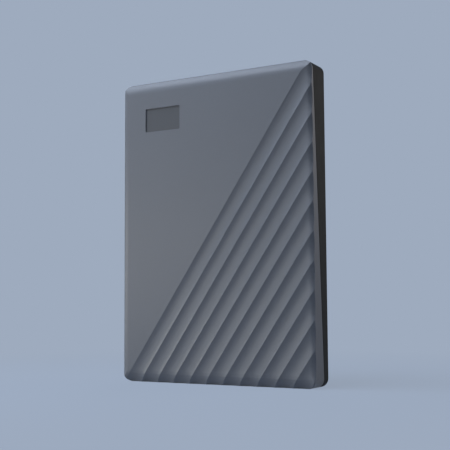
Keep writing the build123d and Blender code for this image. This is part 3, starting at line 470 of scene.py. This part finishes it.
class Finishes:
    """Every finish of the part by its slot, each made into a material once."""

    def __init__(self, spindle: Span, pivot: Span) -> None:
        """Write down the finishes.

        Args:
            spindle: Place of the spindle across and up.
            pivot: Place of the actuator's pivot across and up.
        """
        metal = {"metallic": 1.0}
        steel = {"mottle": 0.04, "grain_depth": 0.004 * MM, **metal}
        table = (
            SatinPaint(
                "cover_paint", (0.118, 0.126, 0.141), 0.40, gleam=0.3, mottle=0.03, mottle_size=25 * MM,
                gloss_spread=0.03, grain_size=0.12 * MM, grain_depth=0.004 * MM,
            ),
            SparkedPlastic(
                "base_plastic", (0.016, 0.017, 0.016), 0.6, gleam=0.1, grain_size=0.35 * MM,
                grain_depth=0.02 * MM,
            ),
            Cellular("foot_rubber", (0.018, 0.018, 0.019), 0.8, grain_size=0.5 * MM),
            Finish("bumper_rubber", (0.05, 0.05, 0.055), 0.75),
            Cellular("foam", (0.09, 0.09, 0.095), 0.9, grain_size=0.6 * MM, grain_depth=0.1 * MM),
            Finish("foil", (0.75, 0.76, 0.78), 0.25, grain_size=3 * MM, grain_depth=0.05 * MM, **metal),
            ClearPlastic("clear_plastic", (0.85, 0.88, 0.9), 0.2, gloss_spread=0.05),
            Finish("port_steel", (0.6, 0.6, 0.62), 0.3, stretch=(1.0, 1.0, 12.0), **steel),
            SparkedPlastic("port_plastic", (0.02, 0.02, 0.022), 0.5),
            Finish("gilt", (0.8, 0.6, 0.24), 0.25, stretch=(1.0, 1.0, 10.0), **steel),
            SolderMask("board", (0.02, 0.1, 0.05), 0.35, grain_depth=0.03 * MM),
            SparkedPlastic("chip", (0.03, 0.03, 0.032), 0.6),
            ClearPlastic("led", (0.9, 0.9, 0.8), 0.25),
            Finish("casting", (0.5, 0.51, 0.53), 0.5, grain_size=0.6 * MM, grain_depth=0.04 * MM, **metal),
            Finish("lid_steel", (0.62, 0.63, 0.65), 0.34, stretch=(14.0, 1.0, 1.0), **steel),
            Finish("gasket", (0.04, 0.04, 0.04), 0.8),
            Finish("screw_steel", (0.45, 0.45, 0.47), 0.35, **steel),
            Striped("bearing_steel", (0.66, 0.66, 0.67), 0.22, ridge_pitch=0.08 * MM, **steel),
            Striped("core_steel", (0.3, 0.3, 0.31), 0.4, **steel),
            Striped("copper", (0.62, 0.27, 0.12), 0.35, ridge_pitch=0.15 * MM, **metal),
            Finish("magnet", (0.6, 0.6, 0.6), 0.2, **steel),
            Turned(
                "platter", (0.82, 0.83, 0.85), 0.08, gloss_spread=0.03, grain_depth=0.0005 * MM,
                centre=spindle, ring_pitch=0.25 * MM, **metal,
            ),
            Turned(
                "turned_aluminium", (0.68, 0.69, 0.71), 0.3, grain_depth=0.004 * MM, centre=spindle, **metal,
            ),
            Turned("spring_steel", (0.7, 0.7, 0.71), 0.25, centre=pivot, **steel),
            Finish("ceramic", (0.06, 0.06, 0.065), 0.3),
            SparkedPlastic("coil_plastic", (0.1, 0.09, 0.08), 0.55),
            Finish("ramp_plastic", (0.8, 0.77, 0.68), 0.35),
            Striped("flex", (0.45, 0.2, 0.04), 0.35, ridge_pitch=0.4 * MM),
            Cellular("filter", (0.8, 0.8, 0.79), 0.95, grain_size=0.3 * MM, grain_depth=0.06 * MM),
        )
        self.by_slot: dict[str, Finish] = {finish.name: finish for finish in table}
        self._made: dict[str, bpy.types.Material] = {}

    def recess(self, slot: str, pocket: Pocket) -> None:
        """Give a slot's paint, before it is made, a pocket with a darker floor."""
        self.by_slot[slot] = replace(self.by_slot[slot], pocket=pocket)

    def of(self, slot: str) -> bpy.types.Material:
        """The material of a slot, made when it is first asked for."""
        if slot not in self._made:
            self._made[slot] = self.by_slot[slot].material()
        return self._made[slot]


def dress(piece: bpy.types.Object, material: bpy.types.Material) -> None:
    """Give a piece one material all over."""
    piece.data.materials.clear()
    piece.data.materials.append(material)


# Surfaces


class Surface:
    """Meshes made from whole arrays of points."""

    @staticmethod
    def grid_faces(rows: int, columns: int, closed: bool) -> np.ndarray:
        """Quads of a grid whose columns may close on themselves.

        Args:
            rows: Points along the first parameter.
            columns: Points along the second parameter.
            closed: Whether the last column joins the first.

        Returns:
            One row of four point numbers for each face.
        """
        steps = columns if closed else columns - 1
        row, column = np.meshgrid(np.arange(rows - 1), np.arange(steps), indexing="ij")
        after = (column + 1) % columns
        here, above = row * columns, (row + 1) * columns
        corners = (here + column, here + after, above + after, above + column)
        return np.stack([corner.ravel() for corner in corners], axis=1)

    @staticmethod
    def make(name: str, points: np.ndarray, faces: np.ndarray, smooth: bool = True) -> bpy.types.Object:
        """Mesh object from points and quads, with the points that coincide at a pole merged.

        Args:
            name: Name of the piece.
            points: One row of three coordinates for each point, in metres.
            faces: One row of four point numbers for each face.
            smooth: Whether its faces shade smoothly.

        Returns:
            The linked object.
        """
        mesh = bpy.data.meshes.new(name)
        mesh.from_pydata(points.tolist(), [], faces.tolist())
        merged = bmesh.new()
        merged.from_mesh(mesh)
        bmesh.ops.remove_doubles(merged, verts=merged.verts, dist=MERGE_DISTANCE)
        merged.to_mesh(mesh)
        merged.free()
        mesh.polygons.foreach_set("use_smooth", np.full(len(mesh.polygons), smooth))
        mesh.update()
        made = bpy.data.objects.new(name, mesh)
        bpy.context.scene.collection.objects.link(made)
        return made


# Sub-assemblies


@dataclass
class SubAssembly:
    """Some of the part's nodes, which take the finishes of their slots in the record."""

    nodes: ClassVar[tuple[str, ...]] = ()
    finishes: Finishes

    def dress(self) -> None:
        """Give each node the finish of its slot."""
        slots = {row["node"]: row["material_slot"] for row in frame["record"]["subparts"]}
        for node in self.nodes:
            dress(frame["nodes"][node], self.finishes.of(slots[node]))
            LOG.info("%s: %s takes %s", type(self).__name__, node, slots[node])

    def build(self) -> list[bpy.types.Object]:
        """Pieces that the sub-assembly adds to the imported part: none, unless it says otherwise."""
        return []


@dataclass
class Case(SubAssembly):
    """The two shells: the painted cover, with a bare badge recess in its face, and the black base."""

    nodes = ("front_cover", "base_shell")
    badge_lip: float = 0.2 * MM
    badge_across: Span = (-27.9 * MM, -13.4 * MM)
    badge_up: Span = (89.0 * MM, 97.45 * MM)

    def badge(self) -> Pocket:
        """The badge recess, which starts a lip's depth behind the front of the cover."""
        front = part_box("front_cover")[0].y
        return Pocket(front + self.badge_lip, self.badge_across, self.badge_up)

    def dress(self) -> None:
        """Darken the recess's floor, and give each shell the finish of its slot."""
        self.finishes.recess("cover_paint", self.badge())
        super().dress()


@dataclass
class Feet(SubAssembly):
    """Round rubber feet with a soft rim and a shallow dish."""

    nodes = ("rubber_feet",)
    body: str = "case"
    radius: float = 3.5 * MM
    rim: float = 0.25 * MM
    dish: float = 0.06 * MM
    rounds: int = 64
    rim_steps: int = 6
    top_steps: int = 8

    def profile(self, proud: float) -> np.ndarray:
        """Radius and height of the foot's edge, from the middle of its seat to the middle of its top.

        The wall runs straight up from the seat, turns over in a quarter circle of the rim's radius, and the
        top falls to the middle as a parabola of the dish's depth.

        Args:
            proud: Height of the foot over its seat, in metres.

        Returns:
            One row of radius and height for each point.
        """
        seat = np.array([[0.0, 0.0], [self.radius, 0.0]])
        turn = np.linspace(0, math.pi / 2, self.rim_steps)
        over = self.radius - self.rim * (1 - np.cos(turn))
        rim = np.stack([over, proud - self.rim * (1 - np.sin(turn))], axis=1)
        flat = self.radius - self.rim
        inward = np.linspace(flat, 0.0, self.top_steps)[1:]
        top = np.stack([inward, proud - self.dish * (1 - (inward / flat) ** 2)], axis=1)
        return np.concatenate([seat, rim, top])

    def build(self) -> list[bpy.types.Object]:
        """Carry the profile round each foot's middle.

        Returns:
            The piece that stands for the feet.
        """
        low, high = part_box("rubber_feet")
        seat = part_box("base_shell")[1].y
        profile = self.profile(high.y - seat)
        turn = np.linspace(0, 2 * math.pi, self.rounds, endpoint=False)
        radius, rise = profile[:, :1], np.repeat(profile[:, 1:], self.rounds, axis=1)
        one = np.stack([radius * np.cos(turn), seat + rise, radius * np.sin(turn)], axis=2).reshape(-1, 3)
        places = [(x, 0.0, z) for x in (low.x + self.radius, high.x - self.radius)
                  for z in (low.z + self.radius, high.z - self.radius)]
        points = np.concatenate([one + np.array(place) for place in places])
        faces = Surface.grid_faces(len(profile), self.rounds, True)[:, ::-1]
        every = np.concatenate([faces + index * len(one) for index in range(len(places))])
        piece = Surface.make("soft_feet", points, every)
        dress(piece, self.finishes.of("foot_rubber"))
        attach(piece, self.body)
        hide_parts("rubber_feet")
        return [piece]


class PortEnd(SubAssembly):
    """Data port and status light in the upper end."""

    nodes = ("usb_port_shell", "usb_port_insulator", "usb_port_contacts", "light_pipe", "status_led")


class Cushioning(SubAssembly):
    """What holds the drive in the case without hard contact, and the foil that screens its board."""

    nodes = (
        "corner_bumper_plain_left", "corner_bumper_plain_right", "corner_bumper_port_left",
        "corner_bumper_port_right", "foam_pad", "shield_foil",
    )


class Electronics(SubAssembly):
    """Circuit board under the drive, with its chips and screws."""

    nodes = (
        "circuit_board", "board_insulator", "board_screws", "controller_chip", "motor_driver_chip",
        "memory_chip",
    )


class DriveHousing(SubAssembly):
    """Cast tray and steel lid of the drive."""

    nodes = ("drive_casting", "drive_lid", "lid_gasket", "lid_screws")


class SpindleMotor(SubAssembly):
    """Motor that turns the disk: the fixed core and bearing, and the hub with its ring magnet."""

    nodes = (
        "thrust_plate", "bearing_sleeve", "stator_core", "stator_coils", "spindle_shaft", "spindle_hub",
        "rotor_magnet",
    )


class DiskStack(SubAssembly):
    """Disk, clamped to the hub."""

    nodes = ("platter", "disk_clamp", "clamp_screws")


class Actuator(SubAssembly):
    """Arm that carries the heads over the disk, on its pivot."""

    nodes = (
        "actuator_block", "head_suspensions", "head_sliders", "pivot_shaft", "pivot_sleeve", "voice_coil",
        "coil_frame",
    )


class VoiceCoilMotor(SubAssembly):
    """Magnets and yokes on both sides of the actuator's coil, and the stops at the ends of its swing."""

    nodes = ("lower_yoke", "upper_yoke", "lower_magnet", "upper_magnet", "yoke_posts", "crash_stops")


class HeadParking(SubAssembly):
    """Ramp that the heads rest on when the disk stands still."""

    nodes = ("parking_ramp", "ramp_screw")


class FlexCircuit(SubAssembly):
    """Film cable from the board to the actuator, and its bracket."""

    nodes = ("flex_bracket", "flex_cable")


class AirCare(SubAssembly):
    """Filter and drying pack that keep the air in the drive clean."""

    nodes = ("recirculation_filter", "desiccant_pack")


SUB_ASSEMBLIES = (
    Case, Feet, PortEnd, Cushioning, Electronics, DriveHousing, SpindleMotor, DiskStack, Actuator,
    VoiceCoilMotor, HeadParking, FlexCircuit, AirCare,
)


# Stage, light and camera


@dataclass
class Stage:
    """Seamless pale floor that fades into a plain backdrop of the same colour."""

    SEEN_RAYS: ClassVar[tuple[str, ...]] = ("Is Camera Ray", "Is Glossy Ray", "Is Transmission Ray")
    colour: Colour = (0.342, 0.407, 0.515)
    ambient_colour: Colour = (0.8, 0.8, 0.8)
    ambient_strength: float = 0.10
    radius: float = 6.0
    first_ring: float = 0.05
    rings: int = 12
    rounds: int = 48
    fade: Span = (0.06, 0.25)
    shadow_share: float = 0.18
    speckle: float = 0.01
    speckle_size: float = 2 * MM

    def seen(self, graph: Graph) -> Value:
        """1 for rays from the camera, from gloss and through clear plastic, and 0 for diffuse light."""
        path = graph.make("ShaderNodeLightPath", {}, {})
        camera, gloss, clear = (Value(graph, path.outputs[name]) for name in self.SEEN_RAYS)
        return (camera + gloss + clear).clamp()

    def floor(self) -> None:
        """Lay a flat disc of rings that grow outwards, each further from the middle by the same factor."""
        radius = np.concatenate([[0.0], np.geomspace(self.first_ring, self.radius, self.rings)])
        turn = np.linspace(0, 2 * math.pi, self.rounds, endpoint=False)
        x, y = np.outer(radius, np.cos(turn)), np.outer(radius, np.sin(turn))
        points = np.stack([x, y, np.zeros_like(x)], axis=2).reshape(-1, 3)
        made = Surface.make("floor", points, Surface.grid_faces(len(radius), self.rounds, True))
        dress(made, self.floor_material())

    def floor_material(self) -> bpy.types.Material:
        """Floor that glows in the backdrop's colour, with a share of matt paint near the object.

        The matt share is what takes the object's shadow.

        Returns:
            The material.
        """
        made = bpy.data.materials.new("floor")
        made.use_nodes = True
        graph = Graph(made.node_tree)
        across, along = graph.axis(Axis.ACROSS), graph.axis(Axis.DEPTH)
        near = 1 - ((across * across + along * along) ** 0.5).smooth(*self.fade)
        light = tuple(channel * (1 + self.speckle) for channel in self.colour)
        tint = graph.mix(graph.noise(self.speckle_size), self.colour, light)
        matt = graph.node("ShaderNodeBsdfDiffuse", {}, {"Color": tint})
        glow = graph.node("ShaderNodeEmission", {}, {"Color": opaque(self.colour), "Strength": 1.0})
        glowing = self.seen(graph) * (1 - near * self.shadow_share)
        graph.finish(graph.blend(glowing, matt, glow))
        return made

    def world(self) -> None:
        """Plain backdrop for what is seen, and even soft light for the rest."""
        world = bpy.data.worlds.new("backdrop")
        bpy.context.scene.world = world
        world.use_nodes = True
        graph = Graph(world.node_tree)
        sky = graph.node("ShaderNodeBackground", {}, {"Color": opaque(self.colour), "Strength": 1.0})
        soft = {"Color": opaque(self.ambient_colour), "Strength": self.ambient_strength}
        light = graph.node("ShaderNodeBackground", {}, soft)
        graph.finish(graph.blend(self.seen(graph), light, sky))


@dataclass(frozen=True)
class SoftBox:
    """Rectangular lamp aimed at the middle of the case; sizes in metres, power in watts."""

    name: str
    colour: LightColour
    place: Triple
    width: float
    height: float
    power: float

    def build(self, aim: Vector) -> None:
        """Hang the lamp, hidden from the camera, and turn it to the aim."""
        lamp = bpy.data.lights.new(self.name, "AREA")
        lamp.shape = "RECTANGLE"
        lamp.size = self.width
        lamp.size_y = self.height
        lamp.energy = self.power
        lamp.color = self.colour.value
        made = bpy.data.objects.new(self.name, lamp)
        made.location = self.place
        made.rotation_euler = (aim - Vector(self.place)).to_track_quat("-Z", "Y").to_euler()
        made.visible_camera = False
        bpy.context.scene.collection.objects.link(made)


@dataclass(frozen=True)
class DarkCard:
    """Upright black card behind the camera, which keeps light off the right-hand edges."""

    bearing_deg: float = 38.0
    distance: float = 0.5
    width: float = 0.84
    height: float = 0.56
    finish: Finish = Finish("card_black", (0.01, 0.01, 0.01), 0.9)

    def build(self) -> None:
        """Stand the card on the floor, facing the object, hidden from the camera."""
        bearing = math.radians(self.bearing_deg)
        middle = np.array([math.sin(bearing), -math.cos(bearing), 0.0]) * self.distance
        side = np.array([math.cos(bearing), math.sin(bearing), 0.0]) * (self.width / 2)
        lift = np.array([0.0, 0.0, self.height])
        points = np.stack([middle - side, middle + side, middle - side + lift, middle + side + lift])
        card = Surface.make("dark_card", points, Surface.grid_faces(2, 2, False), smooth=False)
        dress(card, self.finish.material())
        card.visible_camera = False


@dataclass(frozen=True)
class PhotoCamera:
    """Camera fitted to the case's outline in the photograph."""

    yaw_deg: float = 29.972
    pitch_deg: float = 4.830
    roll_deg: float = -0.346
    focal_px: float = 916.16
    frame_px: float = 450.0
    sensor_mm: float = 36.0
    distance: float = 318.039 * MM
    right_of_middle: float = -1.539 * MM
    above_middle: float = -1.011 * MM
    clip_start: float = 10 * MM

    def build(self, middle: Vector) -> None:
        """Place the camera.

        The view runs along the yaw and pitch; the camera stands back from the case's middle by the distance
        and is moved so that the middle falls beside the picture's centre by the two offsets.

        Args:
            middle: Middle of the case.
        """
        yaw, pitch, roll = (math.radians(angle) for angle in (self.yaw_deg, self.pitch_deg, self.roll_deg))
        forward = Vector((-math.sin(yaw) * math.cos(pitch), math.cos(yaw) * math.cos(pitch), math.sin(pitch)))
        level = Vector((math.cos(yaw), math.sin(yaw), 0.0))
        upright = level.cross(forward)
        right = level * math.cos(roll) + upright * math.sin(roll)
        up = upright * math.cos(roll) - level * math.sin(roll)
        place = middle - forward * self.distance - right * self.right_of_middle - up * self.above_middle
        camera = bpy.data.cameras.new("photo_camera")
        camera.sensor_width = self.sensor_mm
        camera.lens = self.focal_px / self.frame_px * self.sensor_mm
        camera.clip_start = self.clip_start
        made = bpy.data.objects.new("photo_camera", camera)
        made.matrix_world = Matrix.Translation(place) @ Matrix((right, up, -forward)).transposed().to_4x4()
        bpy.context.scene.collection.objects.link(made)
        bpy.context.scene.camera = made


LAMPS = (
    SoftBox("overhead", LightColour.SKY, (-0.08, -0.15, 0.4), width=0.3, height=0.2, power=1.2),
    SoftBox("over_left", LightColour.SKY, (-0.25, -0.12, 0.35), width=0.25, height=0.2, power=0.6),
    SoftBox("low_left", LightColour.CREAM, (-0.25, -0.12, 0.05), width=0.1, height=0.08, power=0.17),
    SoftBox("low_front", LightColour.CREAM, (-0.2, -0.35, 0.05), width=0.15, height=0.08, power=0.22),
    SoftBox("front_left", LightColour.NEUTRAL, (-0.4, -0.79, 0.22), width=0.7, height=0.5, power=1.2),
    SoftBox("behind_right", LightColour.WARM, (0.42, 0.3, 0.2), width=0.3, height=0.2, power=0.82),
    SoftBox("behind_left", LightColour.PALE_SKY, (-0.35, 0.85, 0.08), width=0.5, height=0.12, power=8.0),
)


def case_middle() -> Vector:
    """Middle of the case, between the front of the cover and the back of the base."""
    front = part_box("front_cover")[0].y
    low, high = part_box("base_shell")
    return Vector((0.0, (front + high.y) / 2, (low.z + high.z) / 2))


def main() -> None:
    """Dress every sub-assembly, then set up the stage, the light and the camera."""
    logging.basicConfig(level=logging.INFO, format="%(name)s: %(message)s")
    bpy.context.scene.view_settings.view_transform = "Standard"
    joints = {joint["name"]: joint["pos_m"] for joint in frame["joints"]}
    spindle, pivot = joints["spindle_spin"], joints["actuator_swing"]
    finishes = Finishes((spindle[0], spindle[2]), (pivot[0], pivot[2]))
    for kind in SUB_ASSEMBLIES:
        group = kind(finishes)
        group.dress()
        for piece in group.build():
            LOG.info("%s: built %s", kind.__name__, piece.name)
    middle = case_middle()
    stage = Stage()
    stage.floor()
    stage.world()
    for lamp in LAMPS:
        lamp.build(middle)
    DarkCard().build()
    PhotoCamera().build(middle)


if __name__ == "__main__":
    main()
